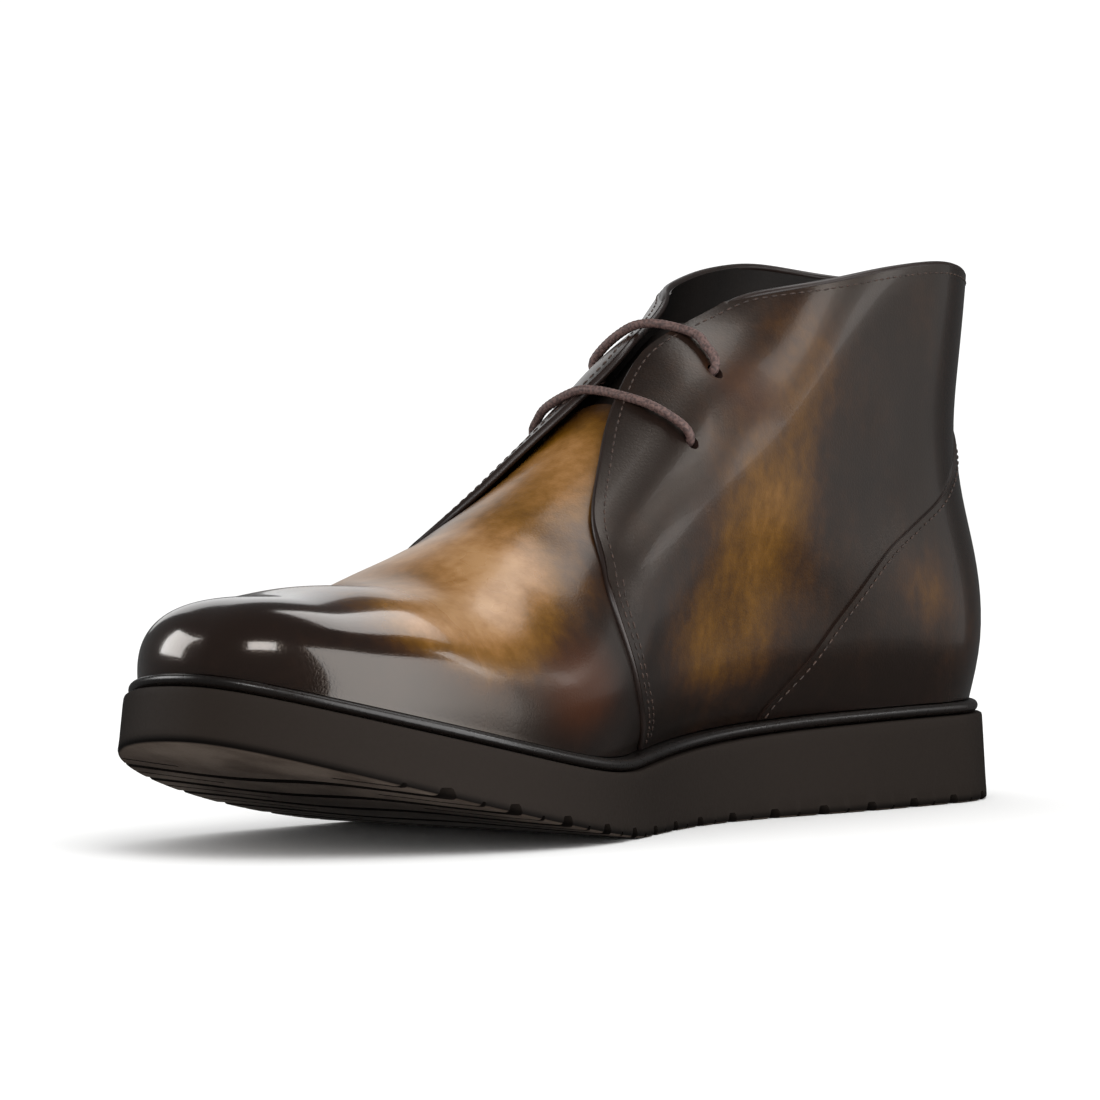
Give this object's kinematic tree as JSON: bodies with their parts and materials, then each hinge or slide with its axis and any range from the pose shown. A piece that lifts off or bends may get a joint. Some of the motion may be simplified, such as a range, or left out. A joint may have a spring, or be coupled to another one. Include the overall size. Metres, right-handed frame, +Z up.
{
  "type": "chukka boot",
  "caption": "Ankle-high leather lace-up boot with plain rounded toe, lapped quarters and counter, open throat over a tongue, and a thick grooved wedge sole.",
  "frame": {"origin": "on the floor, below the middle of the boot's bounding box", "axes": "+X from the heel to the toe, +Y to the inner (medial) side of the foot, +Z up"},
  "size_m": [0.3, 0.1002, 0.1381],
  "materials": {
    "sole_rubber": "matte, dark brown",
    "midsole_rubber": "satin, near black brown",
    "lining_leather": "matte, dark brown",
    "upper_leather": "hand-burnished, glossy, amber brown with near black edges",
    "tongue_leather": "satin, dark brown",
    "lace_cord": "waxed round cord, mauve brown"
  },
  "bodies": {
    "root": {"outsole": "sole_rubber", "midsole": "midsole_rubber", "insole": "lining_leather", "upper": "upper_leather", "tongue": "tongue_leather", "lace_lower": "lace_cord", "lace_upper": "lace_cord"}
  },
  "joints": []
}
